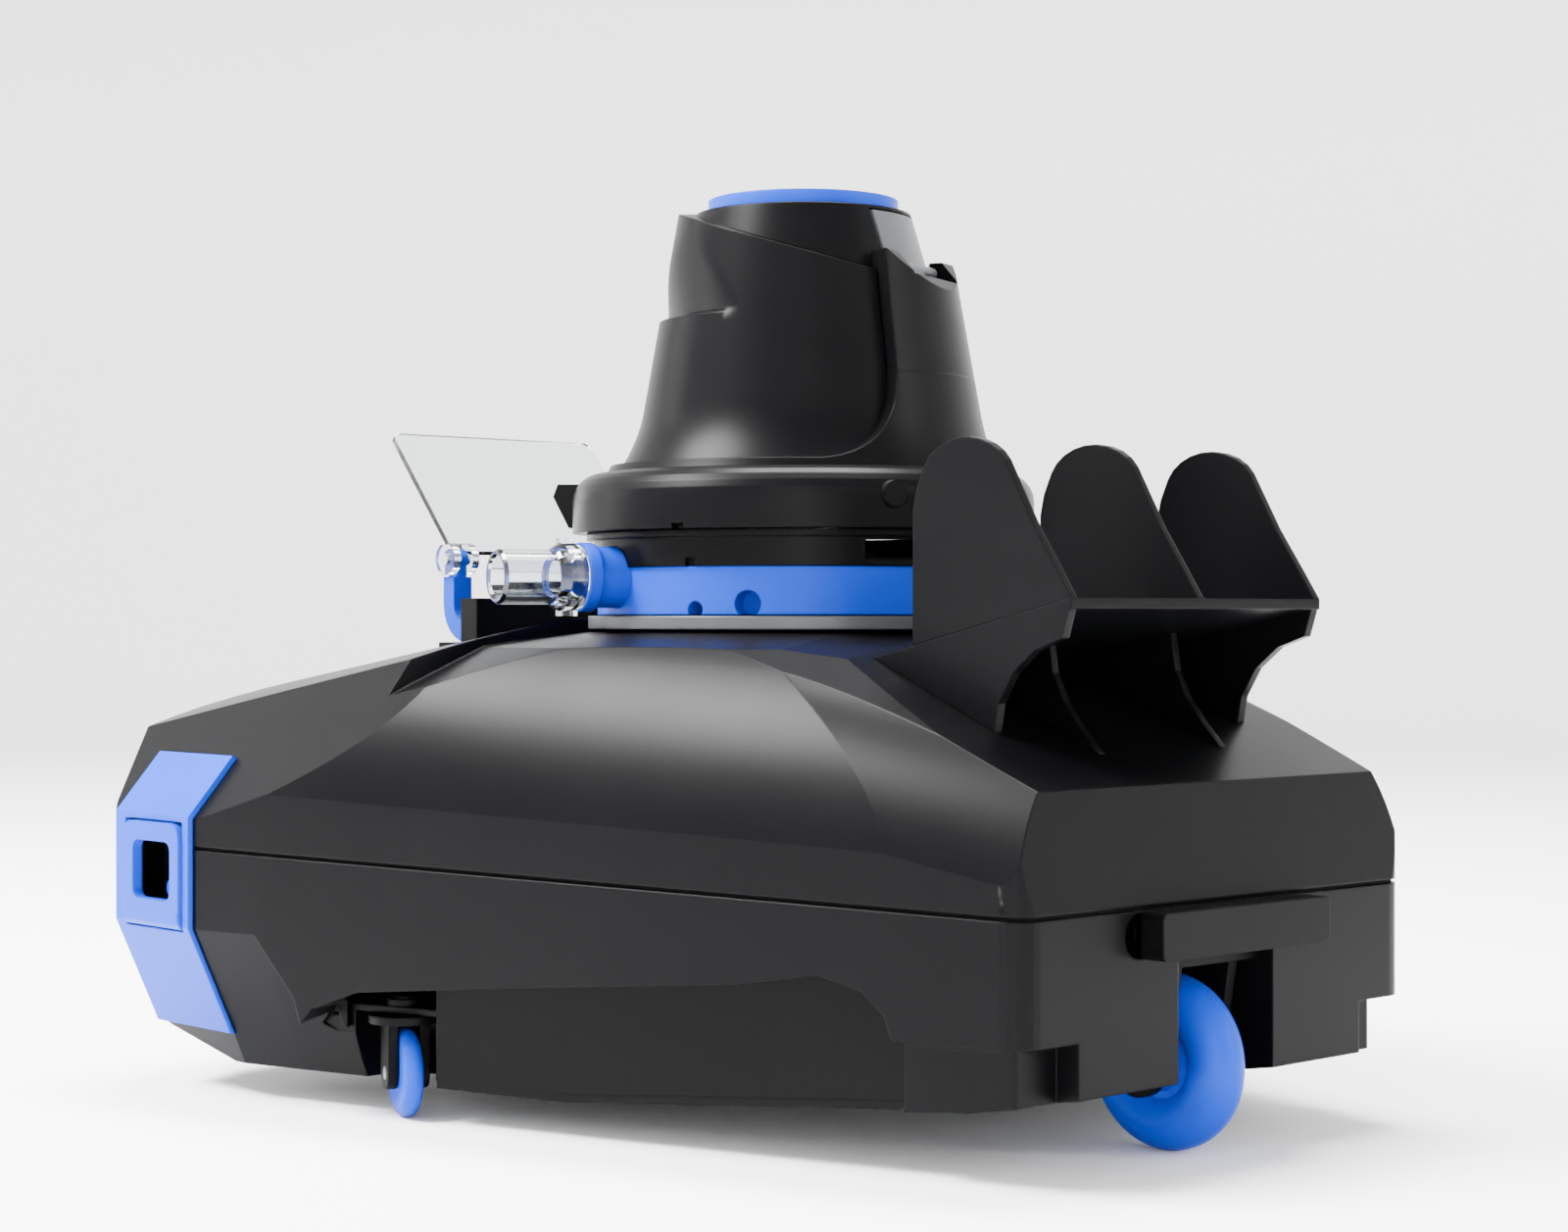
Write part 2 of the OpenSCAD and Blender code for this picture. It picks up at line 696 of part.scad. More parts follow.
/* ---- Tail wing ---- */
fin_x0 = 103;
wing_t = 3;
wing_tail_x = tail_x - 9;
strut_y = 27;
function tail_deck_at(x) = tail_deck_z - (x - tail_deck_x) * tail_slope;
function wing_at(x) =
    tail_deck_z + (x - tail_deck_x) * (wing_rear_z - tail_deck_z) / (wing_tail_x - tail_deck_x);

module tail_wing() color(black) {
    x0 = tail_deck_x;
    x1 = wing_tail_x;
    difference() {
        union() {
            profile_y([[x0, wing_at(x0)], [x0 + 7, wing_at(x0 + 7) - wing_t], [x1, wing_at(x1) - wing_t],
                [x1, wing_at(x1)]], 2 * wing_half);
            both_sides() {
                // Cheek with a hollow rear edge
                translate([0, -wing_half + 1.5, 0]) profile_y(concat([[x0, wing_at(x0)],
                    [x0 + 46, tail_deck_at(x0 + 46)]],
                    [for (a = [200:-20:100]) [x1 + 2 + 30 * cos(a), tail_deck_at(x0 + 46) + 28 * sin(a) - 2]
                        ], [[x1, wing_at(x1) - 1]]), 3);
                // Strut with a rear edge that sweeps down to a pointed foot
                translate([0, -strut_y, 0]) profile_y([[x0 + 4, wing_at(x0 + 4) - 1],
                    [x0 + 4, tail_deck_at(x0 + 4)], [x0 + 62, tail_deck_at(x0 + 62)],
                    [x0 + 55, tail_deck_at(x0 + 55) + 4], [x0 + 49, tail_deck_at(x0 + 49) + 9],
                    [x0 + 45, tail_deck_at(x0 + 45) + 15], [x0 + 43, wing_at(x0 + 43) - 1]], 2.6);
            }
        }
        // Only what stands clear of the deck
        profile_y([[x0 - 1, 0], [x0 - 1, tail_deck_at(x0 - 1)], [tail_x + 9, tail_deck_at(tail_x + 9)],
            [tail_x + 9, 0]], 300);
    }
}

// One fin from the side: upright leading edge, round tip, raked trailing edge
module fin() {
    tip_r = 12;
    tip_x = fin_x0 + 20;
    profile_y(concat([[wing_tail_x, wing_at(wing_tail_x)], [wing_tail_x - 6, wing_at(wing_tail_x) + 9],
        [wing_tail_x - 14, fin_top_z - 24]],
        [for (a = [25:15:160]) [tip_x + 1.4 * tip_r * cos(a), fin_top_z - tip_r + tip_r * sin(a)]],
        [[fin_x0 + 1.4, fin_top_z - 14], [fin_x0, fin_top_z - 20], [fin_x0, wing_at(fin_x0)]]), fin_w);
}

module tail_fins() color(black) {
    for (y = [-1, 0, 1]) translate([0, y * (wing_half - fin_w / 2), 0]) fin();
}

/* ---- Clear front vane on two brackets ---- */
vane_x = -127;
vane_z = 170.5;
vane_y = 43.5;
vane_pin_r = 2;
knuckle_r = 5.5;
knuckle_w = 10.5;
tongue_w = 4;
vane_rise = 44.5;
vane_reach = 38;
vane_t = 2;
bend = 10;

module vane_base() color(black) {
    difference() {
        union() {
            translate([vane_x + bend, -vane_y - 6, deck_z - 14]) cube([9, 2 * vane_y + 12, 24]);
            translate([vane_x - 4, -vane_y - 5, deck_z - 20]) cube([4 + bend + eps, 2 * vane_y + 10, 15]);
        }
        upper_form(0);
    }
}

// J-shaped: it leaves the base level, sweeps up and ends in a thin tongue
module vane_brackets() color(blue) {
    foot_z = deck_z - 5;
    thick = 6;
    both_sides() translate([0, -vane_y, 0]) difference() {
        union() {
            profile_y(concat(
                [for (a = [270:-15:180]) [vane_x + bend + (bend + thick / 2) * cos(a),
                    foot_z + bend + thick / 2 + (bend + thick / 2) * sin(a)]],
                [[vane_x - thick / 2, vane_z - knuckle_r - 0.6], [vane_x + thick / 2, vane_z - knuckle_r - 0.6]],
                [for (a = [180:15:270]) [vane_x + bend + (bend - thick / 2) * cos(a),
                    foot_z + bend + thick / 2 + (bend - thick / 2) * sin(a)]]), 7.5);
            translate([vane_x - 2.5, -tongue_w / 2, vane_z - 12]) cube([5, tongue_w, 12]);
            translate([vane_x, 0, vane_z]) rotate([90, 0, 0])
                cylinder(r = knuckle_r - 2, h = tongue_w, center = true);
        }
        translate([vane_x, 0, vane_z]) rotate([90, 0, 0])
            cylinder(r = vane_pin_r + 0.03, h = 20, center = true);
    }
}

module vane_pins() color(steel) {
    both_sides() translate([vane_x, -vane_y, vane_z]) rotate([90, 0, 0])
        cylinder(r = vane_pin_r, h = knuckle_w + 1, center = true);
}

// Thin clear sheet that leans forward from two forked knuckles
module front_vane() color(clear) {
    lean = atan2(vane_reach, vane_rise);
    length = norm([vane_reach, vane_rise]);
    difference() {
        union() {
            translate([vane_x, 0, vane_z]) rotate([0, -lean, 0]) translate([-vane_t / 2, 0, 0])
                rotate([90, 0, 90]) linear_extrude(vane_t) polygon(rounded([
                    [-vane_y - 1, 3], [vane_y + 1, 3], [vane_y + 1, length], [-vane_y - 1, length]], 3));
            both_sides() translate([vane_x, -vane_y, vane_z]) rotate([90, 0, 0])
                cylinder(r = knuckle_r, h = knuckle_w, center = true);
        }
        both_sides() translate([vane_x, -vane_y, vane_z]) {
            rotate([90, 0, 0]) cylinder(r = vane_pin_r + pin_clear, h = 40, center = true);
            cube([30, tongue_w + 0.8, 2 * knuckle_r - 1], center = true);
            translate([0, 0, -10]) cube([30, tongue_w + 0.8, 20], center = true);
        }
    }
}

/* ---- Turret ---- */
seat_t = 4;
ring_z0 = deck_z + seat_t + 0.4;
ring_z1 = ring_z0 + 14.6;
lower_ring_z1 = ring_z1 + 11;
collar_z0 = lower_ring_z1 + 0.3;
collar_top = collar_z0 + 19;
tower_z0 = collar_top - 1;
tower_z1 = tower_z0 + tower_h;
jet_z = ring_z0 + 11.6;
jet_bore_r = jet_d / 2 - 2.2;
socket_r = jet_d / 2 + 1;
stem_r = deck_bore_r - 0.4;
stem_t = 6;
retainer_z = deck_z - hull_wall - run_gap;

module seat_ring() color(grey) ring(deck_bore_r + 2, ring_r + 3, deck_z, deck_z + seat_t);

module swivel_retainer() color(black) {
    difference() {
        ring(stem_r - stem_t, deck_bore_r + 8, retainer_z - 3.4, retainer_z);
        stem_screws() translate([0, 0, retainer_z - 10]) cylinder(r = screw_r, h = 20);
    }
}

module stem_screws() {
    for (a = [0:90:270]) rotate(a + 45) translate([stem_r - stem_t / 2, 0, 0]) children();
}

module retainer_screws() color(steel) {
    stem_screws() translate([0, 0, retainer_z - 3.4 - 1.8]) {
        cylinder(r = 2.7, h = 1.8);
        cylinder(r = screw_r - 0.1, h = 11);
    }
}

// Where the nozzle's socket passes through the rings
module socket_line(r) {
    rotate(jet_angle) translate([impeller_r + 16, 0, jet_z]) rotate([0, 90, 0]) cylinder(r = r, h = 80);
}

// Pump housing: a blue drum with a floor, an eye and a stem that turns in the deck
module platform_ring() color(blue) {
    floor_t = 2.6;
    difference() {
        union() {
            difference() {
                ring(eye_r, ring_r, ring_z0, ring_z1);
                translate([0, 0, ring_z0 + floor_t]) cylinder(r = impeller_r + 18, h = 40);
            }
            ring(stem_r - stem_t, stem_r, retainer_z, ring_z0 + 1);
            ring(eye_r, duct_r, basket_top + 1, ring_z0 + 1);
        }
        socket_line(socket_r + 0.1);
        rotate(-58) translate([ring_r - 9, 0, ring_z0 + 3.2]) rotate([0, 90, 0]) cylinder(r = 4.1, h = 20);
        rotate(-73) translate([ring_r - 9, 0, ring_z0 + 1.4]) rotate([0, 90, 0]) cylinder(r = 2.6, h = 20);
        stem_screws() translate([0, 0, retainer_z - 1]) cylinder(r = screw_r, h = 12);
    }
}

seal_r = 9;
shaft_r = 3;
module lower_ring() color(black) {
    r = ring_r + 1;
    difference() {
        union() {
            ring(seal_r, r, ring_z1, ring_z1 + 2.6);
            ring(r - 3, r, ring_z1, lower_ring_z1);
            ring(r - 3, r + 2.5, lower_ring_z1 - 2, lower_ring_z1);
        }
        socket_line(socket_r + 0.1);
        // Overflow slot on the tail side, and two bayonet notches
        rotate(-8) translate([r - 10, 0, lower_ring_z1 - 3]) rotate([0, 90, 0]) intersection() {
            cylinder(r = 30, h = 30);
            translate([0, -22, 0]) cube([6, 44, 30]);
        }
        for (a = [-74, 106]) rotate(a) translate([r - 2, -1.8, ring_z1 - 1]) cube([8, 3.6, 3.5]);
    }
}

module nozzle_socket() color(blue) {
    rotate(jet_angle) translate([0, 0, jet_z]) rotate([0, 90, 0]) difference() {
        union() {
            translate([0, 0, impeller_r + 16]) cylinder(r = socket_r, h = collar_r + 4 - impeller_r - 16);
            translate([0, 0, collar_r + 1]) cylinder(r = jet_d / 2 + 2.2, h = 4);
        }
        cylinder(r = jet_bore_r, h = 200);
        translate([0, 0, collar_r - 8]) cylinder(r = jet_d / 2 - 0.9 + pin_clear, h = 100);
    }
}

// Clear nozzle: spigot, bulged bayonet collar, barrel and a rounded mouth
module jet_nozzle() color(clear) {
    z0 = collar_r - 7.5;
    z1 = collar_r + 5 + run_gap;
    z2 = z1 + jet_len;
    r = jet_d / 2;
    rotate(jet_angle) translate([0, 0, jet_z]) rotate([0, 90, 0]) {
        rotate_extrude() polygon([[jet_bore_r, z0], [r - 0.9, z0], [r - 0.9, z1], [r + 1.6, z1],
            [r + 2.2, z1 + 2], [r + 2, z1 + 6], [r + 0.8, z1 + 8], [r, z1 + 9], [r, z2 - 1], [r - 0.8, z2],
            [jet_bore_r + 0.6, z2], [jet_bore_r, z2 - 1]]);
        for (a = [0, 180]) rotate(a) translate([r - 0.5, -2.5, z1 + 1]) cube([4, 5, 5]);
    }
}

blade_count = 6;
module impeller() color(grey) {
    z0 = ring_z0 + 3.6;
    z1 = ring_z1 - 2.6;
    hub_r = 8;
    difference() {
        union() {
            translate([0, 0, z0]) cylinder(r = hub_r, h = z1 - z0);
            translate([0, 0, z1 - 2]) cylinder(r = impeller_r, h = 2);
            for (i = [0:blade_count - 1]) rotate(i * 360 / blade_count) translate([0, 0, z0])
                linear_extrude(z1 - z0 - 1) blade(hub_r - 2);
        }
        translate([0, 0, z0 - 1]) cylinder(r = shaft_r, h = 30);
    }
}

// Swept-back blade: two arcs a blade's thickness apart
module blade(from) {
    t = 1.8;
    sweep = 55;
    polygon(concat(
        [for (k = [0:6]) let (r = from + (impeller_r - 1 - from) * k / 6, a = -sweep * k / 6)
            r * [cos(a), sin(a)]],
        [for (k = [6:-1:0]) let (r = from + (impeller_r - 1 - from) * k / 6, a = -sweep * k / 6)
            r * [cos(a), sin(a)] + t * [-sin(a - 30), cos(a - 30)]]));
}

motor_r = 18;
motor_h = 36;
motor_z = ring_z1 + 2.6;
module motor_shaft() color(steel) {
    translate([0, 0, ring_z0 + 3.6]) cylinder(r = shaft_r, h = motor_z + 8 - ring_z0 - 3.6);
}

module shaft_seal() color(grey) ring(shaft_r + pin_clear, seal_r, ring_z1, motor_z);

module motor() color(steel) {
    difference() {
        union() {
            translate([0, 0, motor_z]) cylinder(r = motor_r + 5, h = 3);
            translate([0, 0, motor_z]) cylinder(r = motor_r, h = motor_h);
        }
        translate([0, 0, motor_z - 1]) cylinder(r = shaft_r + pin_clear, h = 10);
    }
}

cell_r = 9;
cell_h = 50;
cell_ring = 17.5;
battery_z = motor_z + motor_h;
module battery_pack() color(blue) {
    r = cell_ring + cell_r + 1.5;
    difference() {
        translate([0, 0, battery_z]) cylinder(r = r, h = 4);
        for (i = [0:4]) rotate(i * 72) translate([cell_ring, 0, battery_z + 2]) cylinder(r = cell_r, h = 9);
    }
    for (i = [0:4]) rotate(i * 72) translate([cell_ring, 0, battery_z + 2]) cylinder(r = cell_r, h = cell_h);
}

board_z = battery_z + 2 + cell_h;
module circuit_board() color("#1f6b3a") {
    translate([0, 0, board_z]) cylinder(r = 25, h = 1.6);
    translate([-10, -8, board_z + 1.6 - eps]) cube([14, 10, 2.5]);
    translate([8, 6, board_z + 1.6 - eps]) cylinder(r = 3, h = 3);
}

// Tower surface: a cone that flares into the collar's shoulder
function tower_r(z) = tower_foot_r + (tower_top_r - tower_foot_r) * (z - tower_z0) / (tower_z1 - tower_z0);
module tower_form(grow) {
    rotate_extrude() polygon([[0, tower_z0], [tower_foot_r + grow, tower_z0],
        [tower_top_r + grow, tower_z1], [0, tower_z1]]);
}

// Everything under the raked joint between the tower and its cap
cap_tilt = 16.9;
cap_joint_z = tower_z1 - 11;
module under_cap(shift) {
    translate([0, 0, cap_joint_z + shift]) rotate(spine_angle) rotate([0, cap_tilt, 0])
        translate([-150, -150, -300]) cube([300, 300, 300]);
}

spine_half = 32;
spine_out = 5.5;
module spine_wedge(half, grow) {
    rotate(spine_angle) linear_extrude(400) polygon([[0, 0], for (k = [-4:4])
        (150 + grow) * [cos(half * k / 4), sin(half * k / 4)]]);
}

module head_body() color(black) {
    shoulder = [for (a = [0:15:90]) [collar_r - 9 + 9 * cos(a), collar_top - 9 + 9 * sin(a)]];
    difference() {
        union() {
            rotate_extrude() polygon(concat([[collar_r - head_wall, collar_z0], [collar_r, collar_z0]],
                shoulder, [[tower_r(tower_z0) - 4, collar_top], [tower_r(tower_z0) - 4, collar_top - head_wall],
                [collar_r - 10, collar_top - head_wall], [collar_r - head_wall, collar_top - 10]]));
            ring(ring_r - 2, collar_r - head_wall + eps, collar_z0, collar_z0 + head_wall);
            spine();
            for (a = [spine_angle - 42, spine_angle + 42]) rotate(a) translate([collar_r - 3, 0, collar_z0 + 10])
                rotate([0, 90, 0]) cylinder(r = 4, h = 5);
            for (a = [-153, 153]) rotate(spine_angle + a) translate([collar_r - 3, -4, 0])
                profile_y([[0, collar_z0 + 2], [4.5, collar_z0 + 2], [9.5, collar_z0 + 12],
                    [8, collar_z0 + 16], [0, collar_z0 + 16]], 8);
        }
        translate([0, 0, collar_z0 - 1]) cylinder(r = ring_r - 4, h = 10);
        // Notches in the collar's lower edge
        for (a = [-74, 16, 106, 196]) rotate(a) translate([collar_r - 4, -2.2, collar_z0 - 1])
            cube([8, 4.4, 2.6]);
    }
}

// Back of the tower: proud of the cover, bevelled at the top, with shoulders beside the port
module spine() {
    bevel = 50;
    difference() {
        intersection() {
            tower_form(spine_out);
            spine_wedge(spine_half, 0);
            translate([0, 0, collar_top - head_wall]) cylinder(r = 200, h = port_z0 + 5.4 - collar_top + head_wall);
            rotate(spine_angle) translate([cap_r(port_z0) + 1, 0, port_z0 + 5]) rotate([0, bevel, 0])
                translate([-300, -150, -300]) cube([600, 300, 300]);
        }
        tower_form(-head_wall);
        difference() {
            cap_form(-0.3);
            under_cap(-0.3);
        }
        rotate(spine_angle) translate([cap_top_r - 8, -port_half - 1.5, port_z0 - 1.8])
            cube([40, 2 * port_half + 3, 40]);
        on_port_hinge() rotate([90, 0, 0]) cylinder(r = port_pin_r + 0.3, h = 2 * port_half + 7, center = true);
    }
}

grip_r = 17;
grip_sink = 5.5;
grip_z = collar_top + 60;
module head_cover() color(black) {
    wall = 7;
    difference() {
        intersection() {
            tower_form(0);
            translate([0, 0, collar_top]) cylinder(r = 200, h = 200);
            under_cap(0);
        }
        rotate_extrude() polygon([[0, 0], [tower_foot_r - wall, tower_z0 - 1],
            [tower_top_r - wall, tower_z1 + 1], [0, tower_z1 + 1]]);
        spine_wedge(spine_half + 0.4, 10);
        // Finger recesses either side of the spine
        for (a = [-130, 130]) rotate(spine_angle + a) translate([tower_r(grip_z) - grip_sink + grip_r, 0, grip_z])
            rotate([90, 0, 0]) cylinder(r = grip_r, h = 70, center = true);
    }
}

cap_top_z = tower_z1 - 1;
cap_top_r = tower_top_r - 5.4;
port_half = 15;
port_z0 = cap_joint_z - 10.6;
port_z1 = cap_top_z - 1.6;
port_t = 3;
port_pin_r = 1.2;
cap_flare = 0.29;
function cap_r(z) = cap_top_r + (cap_top_z - z) * cap_flare;
module cap_form(d) {
    low = cap_joint_z - 16;
    rotate_extrude() polygon([[0, low], [cap_r(low) - d, low], [cap_top_r - d, cap_top_z], [0, cap_top_z]]);
}

module on_port_hinge() {
    rotate(spine_angle) translate([cap_r(port_z0) - 2.2, 0, port_z0 + 1.6]) children();
}

module top_cap() color(black) {
    difference() {
        cap_form(0);
        under_cap(0);
        translate([0, 0, cap_joint_z - 40]) cylinder(r = cap_top_r - 10.6, h = 40 + cap_top_z - cap_joint_z - 3);
        // Bay for the charging port
        rotate(spine_angle) translate([cap_top_r - 8, -port_half - 1.2, port_z0 - 1.5])
            cube([40, 2 * port_half + 2.4, port_z1 - port_z0 + 2.1]);
        on_port_hinge() rotate([90, 0, 0]) cylinder(r = port_pin_r, h = 2 * port_half + 8, center = true);
    }
}

module top_ring() color(blue) ring(25, 30.5, cap_top_z, cap_top_z + 4.6);

module port_cover() color(grey) {
    difference() {
        union() {
            intersection() {
                difference() {
                    cap_form(0);
                    cap_form(port_t);
                }
                rotate(spine_angle) translate([0, -port_half, port_z0])
                    cube([80, 2 * port_half, port_z1 - port_z0]);
            }
            on_port_hinge() rotate([90, 0, 0]) cylinder(r = 2, h = 2 * port_half, center = true);
        }
        on_port_hinge() rotate([90, 0, 0]) cylinder(r = port_pin_r + pin_clear, h = 99, center = true);
    }
}

module port_cover_pin() color(steel) {
    on_port_hinge() rotate([90, 0, 0]) cylinder(r = port_pin_r, h = 2 * port_half + 6, center = true);
}

module charging_socket() color(grey) {
    back = cap_top_r - 8;
    rotate(spine_angle) translate([back, 0, (port_z0 + port_z1) / 2]) rotate([0, 90, 0]) difference() {
        cylinder(r = 6, h = 2);
        for (y = [-2.4, 2.4]) translate([0, y, 0.6]) cylinder(r = 1, h = 4);
    }
}

lower_hull();
upper_hull();
hull_seal();
inlet_plate();
inlet_flap();
inlet_flap_pin();
filter_frame();
filter_mesh();
arch_liner_left();
arch_liner_right();
side_strip_left();
side_strip_right();
latch_left();
latch_right();
latch_pins();
latch_catches();
hull_screws();
rear_bar();
wheel_bracket();
rear_axle();
rear_wheel();
front_fork_left();
front_fork_right();
front_axle_left();
front_axle_right();
front_wheel_left();
front_wheel_right();
tail_wing();
tail_fins();
vane_base();
vane_brackets();
vane_pins();
front_vane();
seat_ring();
swivel_retainer();
platform_ring();
lower_ring();
nozzle_socket();
jet_nozzle();
impeller();
motor_shaft();
shaft_seal();
motor();
battery_pack();
circuit_board();
head_body();
head_cover();
top_cap();
top_ring();
port_cover();
port_cover_pin();
charging_socket();
retainer_screws();
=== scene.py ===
# %% [markdown]
# # A jet-driven pool cleaner
# The cleaner is a black hull in two moulded shells, with a turret that turns on its deck. A pump in the
# turret's foot draws water through the hull's filter and blows it out of a clear nozzle, which drives
# the cleaner along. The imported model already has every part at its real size, in metres, so this
# lesson spends its effort on finishes, soft edges and light.

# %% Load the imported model
import json
import math

import bpy
import bmesh
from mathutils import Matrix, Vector


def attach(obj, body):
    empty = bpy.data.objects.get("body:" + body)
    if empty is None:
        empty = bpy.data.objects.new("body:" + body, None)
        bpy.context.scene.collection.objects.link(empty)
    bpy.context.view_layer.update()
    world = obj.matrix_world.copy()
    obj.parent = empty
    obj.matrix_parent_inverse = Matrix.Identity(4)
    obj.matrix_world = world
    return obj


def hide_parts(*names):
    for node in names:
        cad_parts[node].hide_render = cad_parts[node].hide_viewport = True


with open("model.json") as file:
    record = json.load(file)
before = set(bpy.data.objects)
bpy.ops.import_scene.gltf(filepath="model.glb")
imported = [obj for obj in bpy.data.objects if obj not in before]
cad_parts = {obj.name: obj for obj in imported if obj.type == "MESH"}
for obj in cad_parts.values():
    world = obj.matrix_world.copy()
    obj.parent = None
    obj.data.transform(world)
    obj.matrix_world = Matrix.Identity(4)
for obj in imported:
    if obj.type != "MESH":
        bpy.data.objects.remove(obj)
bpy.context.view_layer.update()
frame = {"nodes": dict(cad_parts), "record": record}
nodes = frame["nodes"]

# %% [markdown]
# Colours are written as sRGB hex values, because that is how a colour card or a screen gives them. A
# shader works in linear light, so one function turns them over: the sRGB curve is a short straight toe
# and then a power. Sizes on the cleaner are written in millimetres, and the studio round it in metres.


# %% Colour and length helpers
def linear(hex_colour):
    channels = [int(hex_colour[i : i + 2], 16) / 255 for i in (1, 3, 5)]
    return [c / 12.92 if c <= 0.04045 else ((c + 0.055) / 1.055) ** 2.4 for c in channels] + [1.0]


def mm(*lengths):
    metres = [length / 1000 for length in lengths]
    return metres[0] if len(metres) == 1 else Vector(metres)


print("middle grey in linear light:", [round(c, 3) for c in linear("#808080")])

# %% [markdown]
# A material is a small graph. The first function adds a node, sets its properties and sockets, and
# links its inputs, so that each finish below reads as a list of what it is made of. The second starts
# a finish from a colour and its typical roughness and index. Its sheen is the share of mirror light
# that the surface keeps, where 0.5 is all that the index gives.

# %% Node helpers
FULL_SHEEN = 0.5


def add_node(tree, kind, values=None, links=None, **settings):
    node = tree.nodes.new(kind)
    for name, value in settings.items():
        setattr(node, name, value)
    for socket, value in (values or {}).items():
        node.inputs[socket].default_value = value
    for socket, source in (links or {}).items():
        tree.links.new(source, node.inputs[socket])
    return node


def new_finish(name, colour, roughness, ior=1.5, metallic=0.0, sheen=FULL_SHEEN):
    material = bpy.data.materials.new(name)
    material.use_nodes = True
    shader = material.node_tree.nodes["Principled BSDF"]
    shader.inputs["Base Color"].default_value = linear(colour)
    shader.inputs["Roughness"].default_value = roughness
    shader.inputs["IOR"].default_value = ior
    shader.inputs["Metallic"].default_value = metallic
    shader.inputs["Specular IOR Level"].default_value = sheen
    return material, material.node_tree, shader


print("node helpers ready")

# %% [markdown]
# ## Moulded ABS
# The shells are injection-moulded ABS. The mould is spark-eroded, which leaves a very fine even grain,
# so the plastic is satin: highlights are broad and soft. The grain is about 0.3 mm across, and it is
# drawn at 0.6 mm so that it still shows, or at 0.9 mm on the matt trim, whose mould is rougher. Broad
# faint clouds in the gloss come from the melt's flow. A Bevel node rounds the light on the edges, as
# every moulded edge has a small radius.
#
# Real ABS keeps its full sheen. Here the black and the blue keep about a tenth of it, a value chosen
# because the stage is so pale that its full reflection would turn black to grey.

# %% Moulded ABS finishes
ABS_IOR = 1.54
GRAIN_MM, TRIM_GRAIN_MM = 0.6, 0.9
GRAIN_DEPTH_MM = 0.012
CLOUD_MM = 45.0
EDGE_MM, EDGE_SAMPLES = 0.9, 4
GLOSS_BELOW, GLOSS_ABOVE = 0.04, 0.05
BLACK_SHEEN, BLUE_SHEEN = 0.045, 0.06


def moulded_abs(name, dark, pale, roughness, grain_mm=GRAIN_MM, depth_mm=GRAIN_DEPTH_MM, sheen=FULL_SHEEN):
    material, tree, shader = new_finish(name, dark, roughness, ior=ABS_IOR, sheen=sheen)
    place = add_node(tree, "ShaderNodeTexCoord")
    grain = add_node(
        tree,
        "ShaderNodeTexNoise",
        {"Scale": 1 / mm(grain_mm), "Detail": 2.0, "Roughness": 0.6},
        {"Vector": place.outputs["Object"]},
    )
    cloud = add_node(
        tree,
        "ShaderNodeTexNoise",
        {"Scale": 1 / mm(CLOUD_MM), "Detail": 3.0},
        {"Vector": place.outputs["Object"]},
    )
    tint = add_node(tree, "ShaderNodeMix", data_type="RGBA")
    tint.inputs["A"].default_value = linear(dark)
    tint.inputs["B"].default_value = linear(pale)
    tree.links.new(cloud.outputs["Fac"], tint.inputs["Factor"])
    gloss = add_node(
        tree,
        "ShaderNodeMapRange",
        {"To Min": roughness - GLOSS_BELOW, "To Max": roughness + GLOSS_ABOVE},
        {"Value": cloud.outputs["Fac"]},
    )
    edge = add_node(tree, "ShaderNodeBevel", {"Radius": mm(EDGE_MM)}, samples=EDGE_SAMPLES)
    bump = add_node(
        tree,
        "ShaderNodeBump",
        {"Strength": 0.5, "Distance": mm(depth_mm)},
        {"Height": grain.outputs["Fac"], "Normal": edge.outputs["Normal"]},
    )
    tree.links.new(tint.outputs["Result"], shader.inputs["Base Color"])
    tree.links.new(gloss.outputs["Result"], shader.inputs["Roughness"])
    tree.links.new(bump.outputs["Normal"], shader.inputs["Normal"])
    return material


black_abs = moulded_abs("satin_black_moulded_abs", "#030304", "#070708", roughness=0.34, sheen=BLACK_SHEEN)
black_trim_abs = moulded_abs(
    "matt_black_moulded_abs",
    "#030303",
    "#060606",
    roughness=0.46,
    grain_mm=TRIM_GRAIN_MM,
    sheen=BLACK_SHEEN,
)
blue_abs = moulded_abs(
    "satin_blue_moulded_abs",
    "#0433a8",
    "#073bb4",
    roughness=0.34,
    depth_mm=GRAIN_DEPTH_MM / 2,
    sheen=BLUE_SHEEN,
)
grey_abs = moulded_abs("matt_grey_moulded_abs", "#2c2e31", "#36393d", roughness=0.42)
print("moulded finishes:", [m.name for m in (black_abs, black_trim_abs, blue_abs, grey_abs)])

# %% [markdown]
# ## Clear polycarbonate and steel
# The nozzle and the front vane are clear polycarbonate, which bends light a little more than glass
# does. A thin moulding is never quite flat, so a slow ripple bends what is seen through it. The axles
# and screws are turned stainless steel. A lathe's marks are too fine to show here as rings, so they
# are drawn as a fine unevenness in the gloss.

# %% Clear polycarbonate and steel finishes
POLYCARBONATE_IOR = 1.585
RIPPLE_MM, RIPPLE_DEPTH_MM = 14, 0.15
TOOL_MARK_MM = 0.5


def clear_polycarbonate(name):
    material, tree, shader = new_finish(name, "#eef3f6", roughness=0.05, ior=POLYCARBONATE_IOR)
    shader.inputs["Transmission Weight"].default_value = 1.0
    place = add_node(tree, "ShaderNodeTexCoord")
    ripple = add_node(
        tree,
        "ShaderNodeTexNoise",
        {"Scale": 1 / mm(RIPPLE_MM), "Detail": 1.0},
        {"Vector": place.outputs["Object"]},
    )
    bump = add_node(
        tree,
        "ShaderNodeBump",
        {"Strength": 0.25, "Distance": mm(RIPPLE_DEPTH_MM)},
        {"Height": ripple.outputs["Fac"]},
    )
    tree.links.new(bump.outputs["Normal"], shader.inputs["Normal"])
    return material


